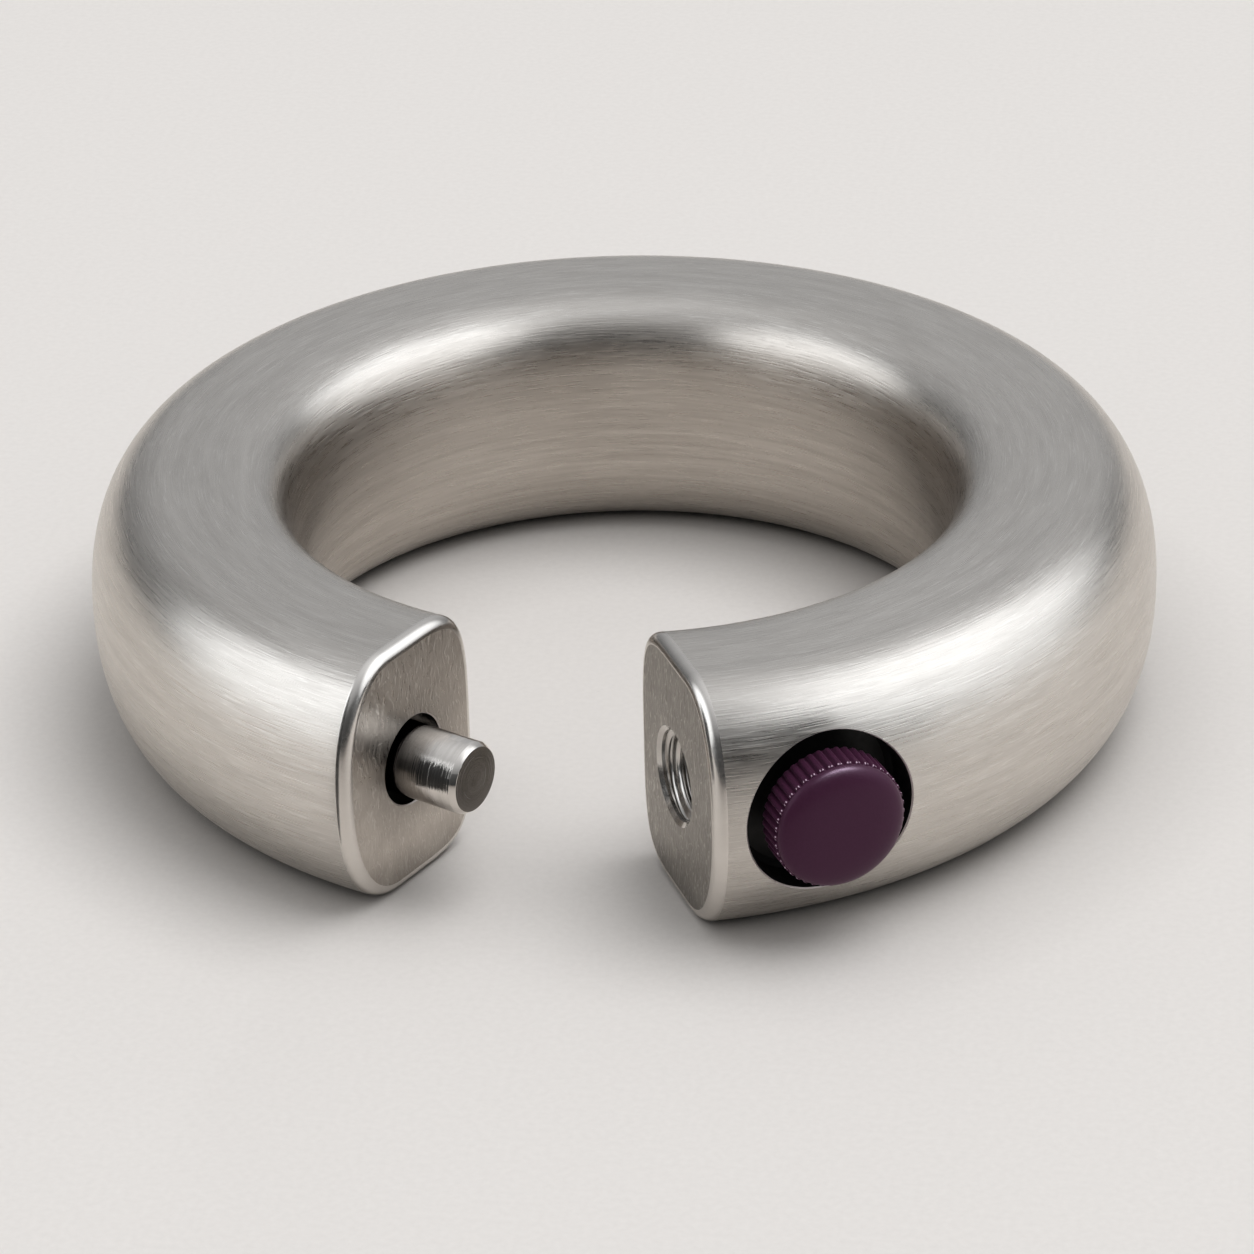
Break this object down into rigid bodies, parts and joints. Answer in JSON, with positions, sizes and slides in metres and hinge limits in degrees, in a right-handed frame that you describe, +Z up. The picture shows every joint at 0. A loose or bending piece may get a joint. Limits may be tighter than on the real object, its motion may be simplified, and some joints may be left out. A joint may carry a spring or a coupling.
{
  "type": "weighted ring",
  "caption": "Heavy C-shaped steel ring, worn as body jewellery, with a locating pin in one end, a threaded hole in the other and a thumb screw in a side pocket.",
  "frame": {"origin": "the ring's axis at the surface that the ring lies on", "axes": "+Z up along the ring's axis; the gap between the two ends faces -Y; the pin end is on -X, the threaded end and the thumb screw on +X"},
  "size_m": [0.06, 0.0592, 0.0146],
  "materials": {
    "ring_steel": "brushed along the ring, satin",
    "turned_steel": "turned, bright",
    "knob_plastic": "satin plum"
  },
  "bodies": {
    "ring": {"ring_body": "ring_steel", "lock_pin": "turned_steel"},
    "screw": {"knob_screw": "turned_steel"},
    "knob": {"thumb_knob": "knob_plastic"}
  },
  "joints": [
    {"name": "screw_travel", "type": "slide", "parent": "ring", "child": "screw", "axis": [0.4787, -0.878, 0], "range_m": [-0.002, 0]},
    {"name": "knob_turn", "type": "hinge", "parent": "screw", "child": "knob", "pos_m": [0.01389, -0.02548, 0.0073], "axis": [0.4787, -0.878, 0], "range_deg": [-1441, 0]}
  ],
  "couplings": [
    {"joint": "knob_turn", "follows": "screw_travel", "rad_per_m": 12566}
  ]
}
